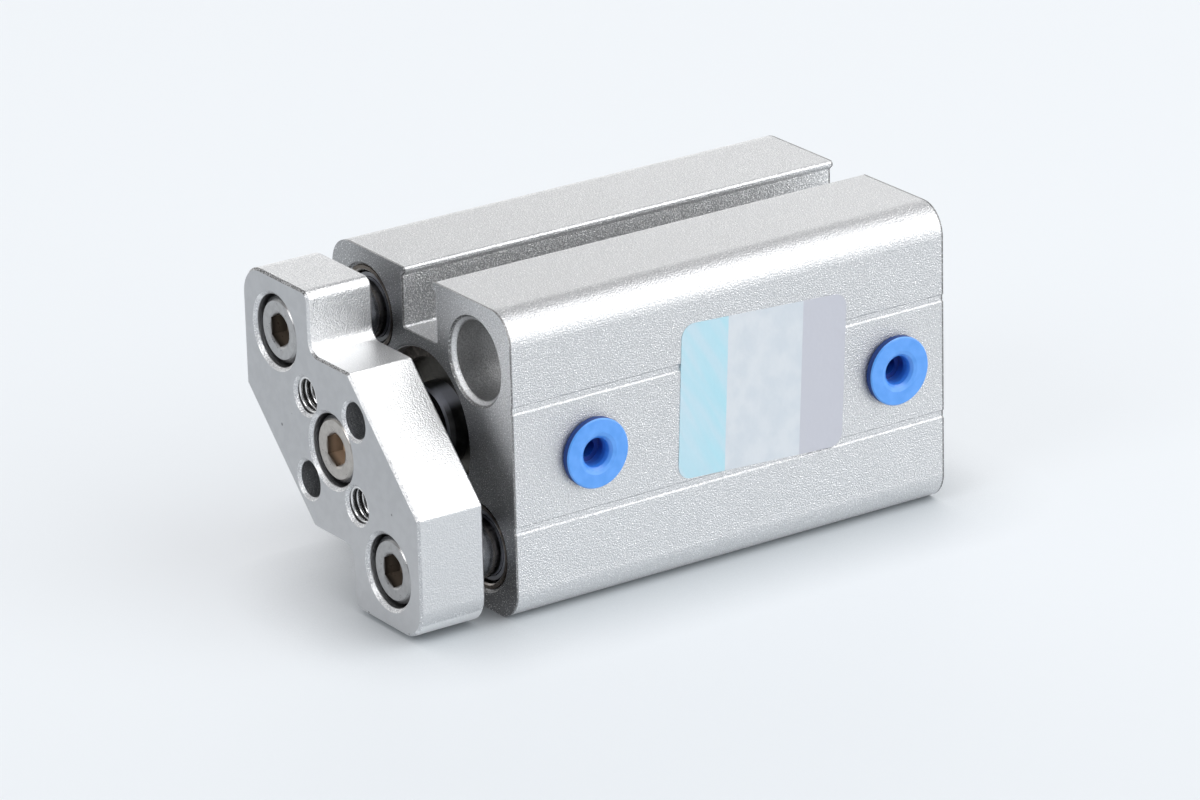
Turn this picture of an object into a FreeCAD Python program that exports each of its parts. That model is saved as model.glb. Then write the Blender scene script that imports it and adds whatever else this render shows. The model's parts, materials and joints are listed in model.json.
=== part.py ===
import FreeCAD, Part
import os
from math import cos, radians, sin
import Sketcher
from FreeCAD import Placement, Rotation, Vector

# Guided pneumatic cylinder: a square aluminium body with one piston bore, two guide rods on one
# diagonal and two mounting holes on the other, and a tool plate screwed to the three rod ends.
# Frame: the origin lies on the piston axis in the body's front face. +Y runs along the body to
# its rear, the plate travels towards -Y, +X is the port side and +Z is the sensor slot side.
# All sizes are in millimetres. Threads are plain cylinders of the nominal size.

doc = FreeCAD.newDocument("guided_cylinder")
sheet = doc.addObject("Spreadsheet::Sheet", "Sizes")

SIZES = [
    # body extrusion
    ("body_width", 25.5, "body across X"),
    ("body_height", 25.5, "body across Z"),
    ("body_corner", 2.5, "round of the four long edges"),
    ("hole_pitch", 15.5, "square pitch of guide bores and mounting holes"),
    ("slot_mouth", 4.2, "sensor slot between its lips"),
    ("slot_width", 5.0, "sensor slot below its lips"),
    ("slot_lip", 0.4, "height of a lip's straight edge"),
    ("slot_web", 1.1, "wall between slot floor and cover bore"),
    ("slot_edge", 0.25, "round of the slot's two lips"),
    ("slot_fillet", 0.25, "fillet between slot wall and floor"),
    ("line_spacing", 10.0, "distance between the two side grooves"),
    ("line_width", 0.7, "side groove across its mouth"),
    ("line_depth", 0.12, "depth of a side groove, and width of its sloped walls"),
    ("mount_hole", 3.4, "through hole for an M3 mounting screw"),
    ("mount_cbore", 6.5, "counterbore for the screw head"),
    ("mount_cbore_depth", 4.0, "depth of that counterbore at each end"),
    ("mount_chamfer", 0.5, "chamfer at its mouth"),
    # piston side
    ("stroke", 25.0, "travel of rod, plate and guide rods"),
    ("bore", 12.0, "piston bore"),
    ("cover_bore", 13.0, "bore for the covers at both ends"),
    ("cover_chamfer", 0.2, "chamfer at the mouth of the cover bore"),
    ("ring_inset", 1.2, "retaining ring below the body's end face"),
    ("ring_thick", 0.8, "retaining ring thickness"),
    ("ring_grip", 0.4, "depth of the ring's groove in the body"),
    ("ring_band", 1.45, "radial width of a retaining ring"),
    ("ring_thin", 0.35, "how much narrower the ring is at its free ends"),
    ("ring_gap", 4.2, "gap between the ring's free ends"),
    ("ring_lug", 1.25, "radius of a lug at a free end"),
    ("ring_eye", 1.0, "hole in a lug"),
    ("rod_cover_length", 4.8, "rod cover along the bore"),
    ("rear_cover_length", 2.2, "rear cover along the bore"),
    ("o_ring", 1.0, "section of the cover O-rings"),
    ("o_ring_groove", 1.25, "width of their grooves"),
    ("rod_d", 6.0, "piston rod"),
    ("piston_length", 3.8, "piston along the bore"),
    ("piston_groove", 1.8, "width of the piston seal's groove"),
    ("piston_groove_depth", 1.5, "depth of that groove"),
    ("spigot_d", 4.0, "end of the piston rod inside the piston"),
    ("rivet_head", 0.7, "flare of the riveted rod end, and its height"),
    ("front_bumper", 1.0, "front bumper thickness"),
    ("rear_bumper", 1.0, "rear bumper, height above its cover"),
    ("rear_bumper_seat", 0.4, "depth of the rear bumper in its cover"),
    ("bumper_d", 8.4, "outside of both bumpers"),
    ("end_gap", 0.1, "air left between bumper and stop at each end"),
    ("seal_mouth", 1.0, "depth of the opening that the seal's lip stands in"),
    ("seal_groove", 2.0, "length of the rod seal's groove"),
    ("seal_d", 8.8, "rod seal across its heel"),
    ("seal_lip_d", 6.8, "rod seal across its lip"),
    ("seal_proud", 1.7, "height of the lip above the rod cover"),
    ("seal_nose", 1.2, "rounded length of the lip's end"),
    # ports
    ("port_d", 4.2, "M5 port, across its thread crests"),
    ("port_depth", 5.0, "depth of the port"),
    ("port_chamfer", 0.2, "chamfer at the port's mouth"),
    ("port_drill", 1.2, "drilled way from port to bore"),
    ("port_offset", 0.75, "port axis from the cover's inner face"),
    ("plug_flange_d", 5.8, "dust plug's flange"),
    ("plug_flange", 0.7, "its thickness"),
    ("plug_edge", 0.1, "bevel of its rim"),
    ("plug_length", 4.2, "dust plug's shank"),
    ("plug_hole", 2.3, "finger hole in the dust plug"),
    ("plug_hole_depth", 1.7, "depth of that hole"),
    ("plug_mouth", 0.6, "round of its mouth"),
    ("plug_core", 1.5, "narrower blind hole behind it"),
    ("plug_floor", 0.8, "closed end of the dust plug"),
    # guide side
    ("guide_d", 5.0, "guide rod"),
    ("guide_bore", 7.0, "bore for bush, wiper and retainer"),
    ("guide_chamfer", 0.3, "chamfer at its mouth"),
    ("guide_relief", 5.8, "clearance hole behind the bush"),
    ("guide_tail", 2.5, "rod end short of the body's rear face"),
    ("guide_end_bevel", 0.4, "bevel at the rear end of a rod"),
    ("bush_length", 10.0, "guide bush"),
    ("wiper_length", 1.6, "guide wiper"),
    ("wiper_lip", 0.4, "wiper's lip in front of its body"),
    ("retainer_thick", 0.75, "retainer ring in front of the wiper"),
    ("retainer_inset", 0.15, "retainer below the front face"),
    ("retainer_band", 0.42, "radial width of the retainer"),
    ("retainer_bevel", 0.12, "bevel on its inner edge"),
    # tool plate and screws
    ("plate_gap", 2.65, "gap between plate and body"),
    ("plate_thick", 6.0, "plate thickness"),
    ("plate_width", 24.8, "plate across X"),
    ("plate_height", 24.8, "plate across Z"),
    ("plate_lobe", 2.65, "lobe's inner side, from the axis"),
    ("plate_shelf", 7.35, "shelf beside a lobe, from the axis"),
    ("plate_slope", 10.3, "where a diagonal would cross the axes"),
    ("plate_corner", 2.6, "round of the two outer corners"),
    ("plate_lobe_corner", 0.8, "round of a lobe's inner corner"),
    ("plate_fillet", 1.2, "fillet between lobe and shelf"),
    ("plate_edge", 0.3, "round of the diagonals' ends"),
    ("plate_rim", 0.2, "chamfer round the plate's two faces"),
    ("plate_seat", 0.6, "depth of the rod seats in the plate's back"),
    ("screw_d", 3.0, "M3 socket screws"),
    ("screw_length", 8.0, "length under the head"),
    ("head_d", 5.5, "screw head"),
    ("head_height", 3.0, "its height"),
    ("head_bevel", 0.35, "bevel of its rim"),
    ("hex_width", 2.5, "hexagon socket across flats"),
    ("hex_depth", 1.5, "depth of that socket"),
    ("hex_chamfer", 0.1, "chamfer outside the socket's corners"),
    ("head_sink", 0.4, "head below the plate's face"),
    ("head_cbore", 6.0, "counterbore for a head"),
    ("head_chamfer", 0.3, "chamfer at its mouth"),
    ("tap_spare", 1.0, "tapped hole beyond the screw's end"),
    ("tool_circle", 10.0, "circle of the four tool holes"),
    ("tool_hole", 3.0, "M3 threads and 3 mm pin holes"),
    ("tap_chamfer", 0.25, "countersink of the two threads"),
    ("pin_chamfer", 0.25, "chamfer of the two pin holes"),
    # clearances
    ("slide_gap", 0.03, "radial, between parts that slide"),
    ("seat_gap", 0.02, "radial, between parts that stay together"),
    ("piston_gap", 0.08, "radial, between piston and bore"),
    ("plug_gap", 0.05, "radial, between plug and port"),
    ("screw_gap", 0.03, "radial, between screw and plate"),
]


class Size:
    """A length that knows its number and the sheet expression that drives it."""

    def __init__(self, value, text):
        self.value = value
        self.text = text

    def join(self, other, sign, value):
        text = other.text if isinstance(other, Size) else repr(other)
        return Size(value, "(%s %s %s)" % (self.text, sign, text))

    def __add__(self, other):
        return self.join(other, "+", self.value + number(other))

    def __sub__(self, other):
        return self.join(other, "-", self.value - number(other))

    def __mul__(self, other):
        return self.join(other, "*", self.value * number(other))

    def __truediv__(self, other):
        return self.join(other, "/", self.value / number(other))

    def __neg__(self):
        return Size(-self.value, "(0 - %s)" % self.text)


def number(length):
    return length.value if isinstance(length, Size) else float(length)


def fill_sheet():
    """Write every driving dimension into the sheet and return them by name."""
    sizes = {}
    for row, (alias, value, note) in enumerate(SIZES, start=1):
        sheet.set("A%d" % row, alias)
        sheet.set("B%d" % row, str(value))
        sheet.set("C%d" % row, note)
        sheet.setAlias("B%d" % row, alias)
        sizes[alias] = Size(value, "Sizes.%s" % alias)
    doc.recompute()
    return sizes


s = fill_sheet()
ZERO = Size(0.0, "0")
NODES = []

# Places along the piston axis, counted from the body's front face.
ring_front = s["ring_inset"]
cover_front = ring_front + s["ring_thick"]
chamber_front = cover_front + s["rod_cover_length"]
piston_front = chamber_front + s["end_gap"] + s["front_bumper"] + s["stroke"]
piston_rear = piston_front + s["piston_length"]
chamber_rear = piston_rear + s["end_gap"] + s["rear_bumper"]
cover_rear = chamber_rear + s["rear_cover_length"]
ring_rear = cover_rear + s["ring_thick"]
body_length = ring_rear + s["ring_inset"]
plate_back = -s["plate_gap"]
plate_front = plate_back - s["plate_thick"]
rod_seat = plate_back - s["plate_seat"]
head_top = plate_front + s["head_sink"]
head_under = head_top + s["head_height"]
screw_end = head_under + s["screw_length"]
tap_end = screw_end + s["tap_spare"]
retainer_rear = s["retainer_inset"] + s["retainer_thick"]
wiper_rear = retainer_rear + s["wiper_length"]
bush_rear = wiper_rear + s["bush_length"]
guide_rear = body_length - s["guide_tail"]
hole_x = s["hole_pitch"] / 2
port_front = chamber_front + s["port_offset"]
port_spacing = chamber_rear - s["port_offset"] - port_front


def drive(item, path, length):
    """Set a property of an object from a size, and keep it bound to the sheet."""
    item.setExpression(path, length.text)


def new_body(label):
    body = doc.addObject("PartDesign::Body", label)
    body.Label = label
    NODES.append(body)
    return body


def new_sketch(body, name, role, offset):
    """A sketch on one of the body's own origin planes, moved by offset in that plane's axes."""
    plane = [item for item in body.Origin.OriginFeatures if item.Role == role][0]
    sketch = body.newObject("Sketcher::SketchObject", name)
    sketch.AttachmentSupport = [(plane, "")]
    sketch.MapMode = "FlatFace"
    for axis, length in zip("xyz", offset):
        drive(sketch, "AttachmentOffset.Base.%s" % axis, length)
    return sketch


def pin_point(sketch, geometry, end, point):
    """Hold one end of a line, or a circle's centre, at a point given by two sizes."""
    for kind, axis, length in (("DistanceX", -2, point[0]), ("DistanceY", -1, point[1])):
        if length is ZERO:
            sketch.addConstraint(Sketcher.Constraint("PointOnObject", geometry, end, axis))
            continue
        index = sketch.addConstraint(
            Sketcher.Constraint(kind, -1, 1, geometry, end, length.value))
        drive(sketch, "Constraints[%d]" % index, length)


def polygon(body, name, role, points, offset=(ZERO, ZERO, ZERO)):
    """A closed outline of straight lines whose every corner is driven by the sheet."""
    sketch = new_sketch(body, name, role, offset)
    corners = [Vector(x.value, y.value, 0) for x, y in points]
    for here, there in zip(corners, corners[1:] + corners[:1]):
        sketch.addGeometry(Part.LineSegment(here, there), False)
    for index, point in enumerate(points):
        before = (index - 1) % len(points)
        sketch.addConstraint(Sketcher.Constraint("Coincident", before, 2, index, 1))
        pin_point(sketch, index, 1, point)
    return sketch


def pad(body, sketch, length):
    """Raise a sketch towards +Y."""
    feature = body.newObject("PartDesign::Pad", "Pad")
    feature.Profile = sketch
    drive(feature, "Length", length)
    feature.Reversed = True
    doc.recompute()


def removes(body, feature, before):
    """Stop if a cut has taken nothing away."""
    doc.recompute()
    if body.Shape.Volume > before - 1e-6:
        raise RuntimeError("%s cuts nothing from %s" % (feature.Name, body.Label))
    return feature


def pocket(body, sketch, length):
    """Cut a sketch away towards +Y."""
    before = body.Shape.Volume
    feature = body.newObject("PartDesign::Pocket", "Pocket")
    feature.Profile = sketch
    drive(feature, "Length", length)
    removes(body, feature, before)


def turn(body, sketch, axis="V_Axis"):
    feature = body.newObject("PartDesign::Revolution", "Turn")
    feature.Profile = sketch
    feature.ReferenceAxis = (sketch, [axis])
    feature.Angle = 360
    doc.recompute()


def bore_out(body, sketch, axis="V_Axis"):
    before = body.Shape.Volume
    feature = body.newObject("PartDesign::Groove", "Bore")
    feature.Profile = sketch
    feature.ReferenceAxis = (sketch, [axis])
    feature.Angle = 360
    return removes(body, feature, before)


def turned(label, profile, places=((ZERO, ZERO),)):
    """Bodies turned about a line along Y, one for each (x, z) place of that line."""
    names = [label] if len(places) == 1 else [label + "_upper", label + "_lower"]
    for name, (x, z) in zip(names, places):
        body = new_body(name)
        turn(body, polygon(body, "Profile", "XY_Plane", profile))
        drive(body, "Placement.Base.x", x)
        drive(body, "Placement.Base.z", z)


def soften(body, kind, path, length, chosen):
    """Fillet or chamfer the edges that the function chosen accepts."""
    base = body.Tip
    edges = enumerate(base.Shape.Edges, start=1)
    feature = body.newObject("PartDesign::" + kind, kind)
    feature.Base = (base, ["Edge%d" % index for index, edge in edges if chosen(edge)])
    drive(feature, path, length)
    doc.recompute()


def round_edges(body, radius, spots):
    """Fillet the edges along Y that stand on the spots, given as (x, z) pairs of sizes."""
    def chosen(edge):
        box = edge.BoundBox
        lengthwise = box.YLength > box.XLength + box.ZLength
        return lengthwise and any(same(box.Center.x, x) and same(box.Center.z, z) for x, z in spots)
    soften(body, "Fillet", "Radius", radius, chosen)


def bevel_outline(body, bevel, levels):
    """Chamfer every edge that lies in a plane across Y at one of the levels."""
    def chosen(edge):
        box = edge.BoundBox
        return box.YLength < 0.01 and any(same(box.Center.y, level) for level in levels)
    soften(body, "Chamfer", "Size", bevel, chosen)


def same(here, there):
    return abs(here - number(there)) < 0.01


def ring_profile(inner, outer, front, rear):
    return [(inner, front), (outer, front), (outer, rear), (inner, rear)]


# --- body ---------------------------------------------------------------------------------

def side_line(body, side, level):
    """One shallow flat-bottomed groove along the body, on the +X or -X face."""
    face = s["body_width"] / 2 * side
    floor = face - s["line_depth"] * side
    half = s["line_width"] / 2
    foot = half - s["line_depth"]
    outline = [(face, level - half), (face, level + half), (floor, level + foot),
               (floor, level - foot)]
    pocket(body, polygon(body, "SideLine", "XZ_Plane", outline), body_length)


def end_recess(mouth, inner, chamfer, face, way):
    """Profile points of a chamfered mouth on an end face; way is 1 at the front, -1 at the rear."""
    return [(mouth / 2 + chamfer, face), (mouth / 2, face + chamfer * way), (mouth / 2, inner)]


def cover_bore_profile():
    """The stepped bore: cover bores and ring grooves at both ends, piston bore between."""
    wide = s["cover_bore"]
    grip = wide / 2 + s["ring_grip"]
    front = end_recess(wide, ring_front, s["cover_chamfer"], ZERO, 1)
    front += [(grip, ring_front), (grip, cover_front), (wide / 2, cover_front),
              (wide / 2, chamber_front), (s["bore"] / 2, chamber_front)]
    rear = end_recess(wide, ring_rear, s["cover_chamfer"], body_length, -1)
    rear += [(grip, ring_rear), (grip, cover_rear), (wide / 2, cover_rear),
             (wide / 2, chamber_rear), (s["bore"] / 2, chamber_rear)]
    return [(ZERO, ZERO)] + front + rear[::-1] + [(ZERO, body_length)]


def guide_bore_profile():
    mouth = end_recess(s["guide_bore"], bush_rear, s["guide_chamfer"], ZERO, 1)
    relief = s["guide_relief"] / 2
    return [(ZERO, ZERO)] + mouth + [(relief, bush_rear), (relief, body_length),
                                     (ZERO, body_length)]


def mount_hole_profile():
    deep = s["mount_cbore_depth"]
    hole = s["mount_hole"] / 2
    front = end_recess(s["mount_cbore"], deep, s["mount_chamfer"], ZERO, 1)
    rear = end_recess(s["mount_cbore"], body_length - deep, s["mount_chamfer"], body_length, -1)
    return ([(ZERO, ZERO)] + front + [(hole, deep), (hole, body_length - deep)]
            + rear[::-1] + [(ZERO, body_length)])


def port_profile():
    """Port and its drilled way, drawn with the port's axis along the sketch's X."""
    face = s["body_width"] / 2
    floor = face - s["port_depth"]
    wall = s["port_d"] / 2
    way = s["port_drill"] / 2
    return [(face, ZERO), (face, wall + s["port_chamfer"]), (face - s["port_chamfer"], wall),
            (floor, wall), (floor, way), (s["bore"] / 4, way), (s["bore"] / 4, ZERO)]


def make_body_tube():
    body = new_body("body_tube")
    half_x = s["body_width"] / 2
    half_z = s["body_height"] / 2
    square = [(-half_x, -half_z), (half_x, -half_z), (half_x, half_z), (-half_x, half_z)]
    pad(body, polygon(body, "Section", "XZ_Plane", square), body_length)
    round_edges(body, s["body_corner"], square)

    mouth = s["slot_mouth"] / 2
    wide = s["slot_width"] / 2
    lip = half_z - s["slot_lip"]
    shoulder = lip - (wide - mouth)
    floor = s["cover_bore"] / 2 + s["slot_web"]
    slot = [(mouth, half_z), (mouth, lip), (wide, shoulder), (wide, floor),
            (-wide, floor), (-wide, shoulder), (-mouth, lip), (-mouth, half_z)]
    pocket(body, polygon(body, "SensorSlot", "XZ_Plane", slot), body_length)
    round_edges(body, s["slot_fillet"], [(wide, floor), (-wide, floor)])
    round_edges(body, s["slot_edge"], [(mouth, half_z), (-mouth, half_z)])
    for side in (1, -1):
        for level in (s["line_spacing"] / 2, -s["line_spacing"] / 2):
            side_line(body, side, level)

    bore_out(body, polygon(body, "PistonBore", "XY_Plane", cover_bore_profile()))
    for x in (hole_x, -hole_x):
        bore_out(body, polygon(body, "GuideBore", "XY_Plane", guide_bore_profile(), (x, ZERO, -x)))
        bore_out(body, polygon(body, "MountHole", "XY_Plane", mount_hole_profile(), (x, ZERO, x)))
    port = bore_out(body, polygon(body, "Port", "XY_Plane", port_profile(),
                                  (ZERO, port_front, ZERO)), "H_Axis")
    before = body.Shape.Volume
    pattern = body.newObject("PartDesign::LinearPattern", "Ports")
    pattern.Originals = [port]
    pattern.Direction = (doc.getObject(port.Profile[0].Name), ["V_Axis"])
    pattern.Occurrences = 2
    drive(pattern, "Length", port_spacing)
    body.Tip = pattern
    removes(body, pattern, before)


# --- covers, seals and rings of the piston bore ----------------------------------------------

def o_ring_groove(middle):
    """Profile points of an O-ring groove in a cover's rim, from front to rear."""
    rim = s["cover_bore"] / 2 - s["seat_gap"]
    floor = s["cover_bore"] / 2 - s["o_ring"] - s["seat_gap"] * 2
    half = s["o_ring_groove"] / 2
    return [(rim, middle - half), (floor, middle - half), (floor, middle + half),
            (rim, middle + half)]


def make_o_ring(label, middle):
    """An O-ring pressed flat between its groove's floor and the body's bore."""
    outer = s["cover_bore"] / 2 - s["seat_gap"]
    centre = outer - s["o_ring"] / 2
    inner = outer - s["o_ring"]
    half = s["o_ring"] / 2
    flat = s["o_ring"] / 4
    turned(label, [(inner, middle - flat), (centre, middle - half), (outer, middle - flat),
                   (outer, middle + flat), (centre, middle + half), (inner, middle + flat)])


def make_rod_cover():
    """Rod bearing and seal housing, turned from bearing alloy."""
    rim = s["cover_bore"] / 2 - s["seat_gap"]
    mouth = s["seal_lip_d"] / 2 + s["seat_gap"]
    heel = s["seal_d"] / 2 + s["seat_gap"]
    bearing = s["rod_d"] / 2 + s["slide_gap"]
    groove_front = cover_front + s["seal_mouth"]
    groove_rear = groove_front + s["seal_groove"]
    middle = cover_front + s["rod_cover_length"] / 2
    turned("rod_cover", [(mouth, cover_front), (rim, cover_front)] + o_ring_groove(middle) + [
        (rim, chamber_front), (bearing, chamber_front), (bearing, groove_rear),
        (heel, groove_rear), (heel, groove_front), (mouth, groove_front)])
    make_o_ring("rod_cover_o_ring", middle)

    lip = s["seal_lip_d"] / 2
    tip = cover_front - s["seal_proud"]
    nose = []
    for turned_by in (0, radians(30), radians(60), radians(90)):
        nose.append((bearing + (lip - bearing) * sin(turned_by),
                     tip + s["seal_nose"] * (1 - cos(turned_by))))
    turned("rod_seal", nose + [
        (lip, groove_front), (s["seal_d"] / 2, groove_front), (s["seal_d"] / 2, groove_rear),
        (bearing, groove_rear)])


def make_rear_cover():
    """Closed end of the bore, with a seat for its rubber bumper."""
    rim = s["cover_bore"] / 2 - s["seat_gap"]
    pad_r = s["bumper_d"] / 2
    middle = chamber_rear + s["rear_cover_length"] / 2
    seat = chamber_rear + s["rear_bumper_seat"]
    turned("rear_cover", [
        (ZERO, seat), (pad_r + s["seat_gap"], seat), (pad_r + s["seat_gap"], chamber_rear),
        (rim, chamber_rear)] + o_ring_groove(middle) + [(rim, cover_rear), (ZERO, cover_rear)])
    make_o_ring("rear_cover_o_ring", middle)
    top = chamber_rear - s["rear_bumper"]
    turned("rear_bumper", [(ZERO, top), (pad_r, top), (pad_r, seat), (ZERO, seat)])


def cylinder(name, radius, front, length, x=ZERO, z=ZERO):
    """A plain cylinder along +Y, as an ingredient of a boolean."""
    item = doc.addObject("Part::Cylinder", name)
    drive(item, "Radius", radius)
    drive(item, "Height", length)
    item.Placement = Placement(Vector(0, 0, 0), Rotation(Vector(1, 0, 0), -90))
    for axis, place in zip("xyz", (x, front, z)):
        drive(item, "Placement.Base.%s" % axis, place)
    return item


def cut(name, base, tool):
    item = doc.addObject("Part::Cut", name)
    item.Base = base
    item.Tool = tool
    return item


def fuse(name, shapes):
    item = doc.addObject("Part::MultiFuse", name)
    item.Shapes = shapes
    return item


def make_retaining_ring(label, front):
    """Internal spring ring: widest opposite its gap, with an eyed lug at each free end."""
    thick = s["ring_thick"]
    outer = s["cover_bore"] / 2 + s["ring_grip"] - s["seat_gap"]
    inner = outer - s["ring_band"] + s["ring_thin"] / 2
    disc = cylinder("Disc", outer, front, thick)
    hollow = cylinder("Hollow", inner, front, thick, ZERO, -s["ring_thin"] / 2)
    band = cut("Band", disc, hollow)
    gap = doc.addObject("Part::Box", "Gap")
    drive(gap, "Length", s["ring_gap"])
    drive(gap, "Width", thick)
    drive(gap, "Height", outer)
    for axis, place in zip("xyz", (-s["ring_gap"] / 2, front, -outer)):
        drive(gap, "Placement.Base.%s" % axis, place)
    arc = cut("Arc", band, gap)
    lug_x = s["ring_gap"] / 2 + s["ring_eye"] / 2
    lug_z = -(s["cover_bore"] / 2 - s["ring_lug"] - s["ring_lug"] / 4)
    lugs = [cylinder("Lug", s["ring_lug"], front, thick, x, lug_z) for x in (lug_x, -lug_x)]
    eyes = [cylinder("Eye", s["ring_eye"] / 2, front, thick, x, lug_z) for x in (lug_x, -lug_x)]
    ring = cut(label, fuse("ArcAndLugs", [arc] + lugs), fuse("Eyes", eyes))
    ring.Label = label
    NODES.append(ring)


# --- moving group of the piston bore ---------------------------------------------------------

def make_piston():
    """Piston riveted to the rod, with its lip seal and the rubber bumper in front of it."""
    rim = s["bore"] / 2 - s["piston_gap"]
    floor = rim - s["piston_groove_depth"]
    middle = piston_front + s["piston_length"] / 2
    groove_front = middle - s["piston_groove"] / 2
    groove_rear = middle + s["piston_groove"] / 2
    eye = s["spigot_d"] / 2 + s["seat_gap"]
    flare = s["rivet_head"]
    turned("piston", [
        (eye, piston_front), (rim, piston_front), (rim, groove_front), (floor, groove_front),
        (floor, groove_rear), (rim, groove_rear), (rim, piston_rear),
        (eye + flare, piston_rear), (eye, piston_rear - flare)])

    turned("piston_seal", ring_profile(floor + s["seat_gap"], s["bore"] / 2 - s["slide_gap"],
                                       groove_front, groove_rear))
    turned("front_bumper", ring_profile(s["rod_d"] / 2 + s["seat_gap"], s["bumper_d"] / 2,
                                        piston_front - s["front_bumper"], piston_front))


def make_piston_rod():
    """Ground rod, tapped in front for the plate screw and riveted over behind the piston."""
    tap = s["screw_d"] / 2 + s["seat_gap"]
    rod = s["rod_d"] / 2
    spigot = s["spigot_d"] / 2
    flare = s["rivet_head"]
    turned("piston_rod", [
        (tap, rod_seat), (rod, rod_seat), (rod, piston_front), (spigot, piston_front),
        (spigot, piston_rear - flare), (spigot + flare, piston_rear), (ZERO, piston_rear),
        (ZERO, tap_end), (tap, tap_end)])


# --- guide rods and what runs on them --------------------------------------------------------

GUIDES = ((-hole_x, hole_x), (hole_x, -hole_x))


def make_guides():
    """Rods, bushes, wipers and retainers of the two guide bores."""
    tap = s["screw_d"] / 2 + s["seat_gap"]
    rod = s["guide_d"] / 2
    bevel = s["guide_end_bevel"]
    turned("guide_rod", [
        (tap, rod_seat), (rod, rod_seat), (rod, guide_rear - bevel), (rod - bevel, guide_rear),
        (ZERO, guide_rear), (ZERO, tap_end), (tap, tap_end)], GUIDES)

    running = rod + s["slide_gap"]
    wall = s["guide_bore"] / 2 - s["seat_gap"]
    turned("guide_bush", ring_profile(running, wall, wiper_rear, bush_rear), GUIDES)

    eye = s["guide_bore"] / 2 - s["retainer_band"]
    lip_front = retainer_rear - s["wiper_lip"]
    turned("guide_wiper", [
        (running, lip_front), (eye - s["seat_gap"] - s["wiper_lip"] / 2, lip_front),
        (eye - s["seat_gap"], retainer_rear), (wall, retainer_rear), (wall, wiper_rear),
        (running, wiper_rear)], GUIDES)

    bevel = s["retainer_bevel"]
    turned("guide_retainer", [
        (eye + bevel, s["retainer_inset"]), (wall, s["retainer_inset"]), (wall, retainer_rear),
        (eye, retainer_rear), (eye, s["retainer_inset"] + bevel)], GUIDES)


# --- tool plate, screws and dust plugs -------------------------------------------------------

def plate_outline():
    """Half the zigzag outline, then the same corners turned half a turn about the axis."""
    half_x = s["plate_width"] / 2
    half_z = s["plate_height"] / 2
    lobe = s["plate_lobe"]
    shelf = s["plate_shelf"]
    half = [(-half_x, half_z), (-lobe, half_z), (-lobe, shelf), (s["plate_slope"] - shelf, shelf),
            (half_x, s["plate_slope"] - half_x)]
    return half + [(-x, -z) for x, z in half]


def plate_bore(body, x, z, seat_d):
    """Counterbore, screw hole and rod seat of one rod in the plate."""
    cbore = s["head_cbore"] / 2
    hole = s["screw_d"] / 2 + s["screw_gap"]
    seat = seat_d / 2 + s["seat_gap"]
    bevel = s["head_chamfer"]
    profile = [(ZERO, plate_front), (cbore + bevel, plate_front), (cbore, plate_front + bevel),
               (cbore, head_under), (hole, head_under), (hole, rod_seat), (seat, rod_seat),
               (seat, plate_back), (ZERO, plate_back)]
    bore_out(body, polygon(body, "RodHole", "XY_Plane", profile, (x, ZERO, z)))


def tool_hole(body, x, z, bevel):
    """A hole right through the plate with a chamfered mouth at the front."""
    hole = s["tool_hole"] / 2
    profile = [(ZERO, plate_front), (hole + bevel, plate_front), (hole, plate_front + bevel),
               (hole, plate_back), (ZERO, plate_back)]
    bore_out(body, polygon(body, "ToolHole", "XY_Plane", profile, (x, ZERO, z)))


def make_end_plate():
    body = new_body("end_plate")
    outline = plate_outline()
    face = (ZERO, ZERO, -plate_front)
    pad(body, polygon(body, "Outline", "XZ_Plane", outline, face), s["plate_thick"])
    for radius, first in (("plate_corner", 0), ("plate_lobe_corner", 1), ("plate_fillet", 2),
                          ("plate_edge", 3), ("plate_edge", 4)):
        round_edges(body, s[radius], [outline[first], outline[first + 5]])
    bevel_outline(body, s["plate_rim"], [plate_front, plate_back])

    plate_bore(body, ZERO, ZERO, s["rod_d"])
    for x, z in GUIDES:
        plate_bore(body, x, z, s["guide_d"])
    reach = s["tool_circle"] * 0.5 ** 0.5 / 2
    for x in (reach, -reach):
        tool_hole(body, x, -x, s["tap_chamfer"])
        tool_hole(body, x, x, s["pin_chamfer"])


def socket_screw(name, x, z):
    """A turned socket head screw along Y with its hexagon socket cut out."""
    body = doc.addObject("PartDesign::Body", name)
    head = s["head_d"] / 2
    shank = s["screw_d"] / 2
    bevel = s["head_bevel"]
    turn(body, polygon(body, "Profile", "XY_Plane", [
        (ZERO, head_top), (head - bevel, head_top), (head, head_top + bevel),
        (head, head_under), (shank, head_under), (shank, screw_end), (ZERO, screw_end)]))
    flat = s["hex_width"] / 2
    corner = flat / 0.75 ** 0.5
    hexagon = [(flat, corner / 2), (ZERO, corner), (-flat, corner / 2),
               (-flat, -corner / 2), (ZERO, -corner), (flat, -corner / 2)]
    sketch = polygon(body, "Socket", "XZ_Plane", hexagon, (ZERO, ZERO, -head_top))
    pocket(body, sketch, s["hex_depth"])
    rim = corner + s["hex_chamfer"]
    bore_out(body, polygon(body, "SocketChamfer", "XY_Plane", [
        (ZERO, head_top), (rim, head_top), (ZERO, head_top + rim / 2)]))
    drive(body, "Placement.Base.x", x)
    drive(body, "Placement.Base.z", z)
    return body


def make_screws():
    """One screw into the piston rod, and one node for the two identical guide rod screws."""
    rod_screw = socket_screw("rod_screw", ZERO, ZERO)
    rod_screw.Label = "rod_screw"
    pair = doc.addObject("Part::Compound", "guide_screws")
    pair.Links = [socket_screw("GuideScrew", x, z) for x, z in GUIDES]
    pair.Label = "guide_screws"
    NODES.extend([rod_screw, pair])


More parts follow.
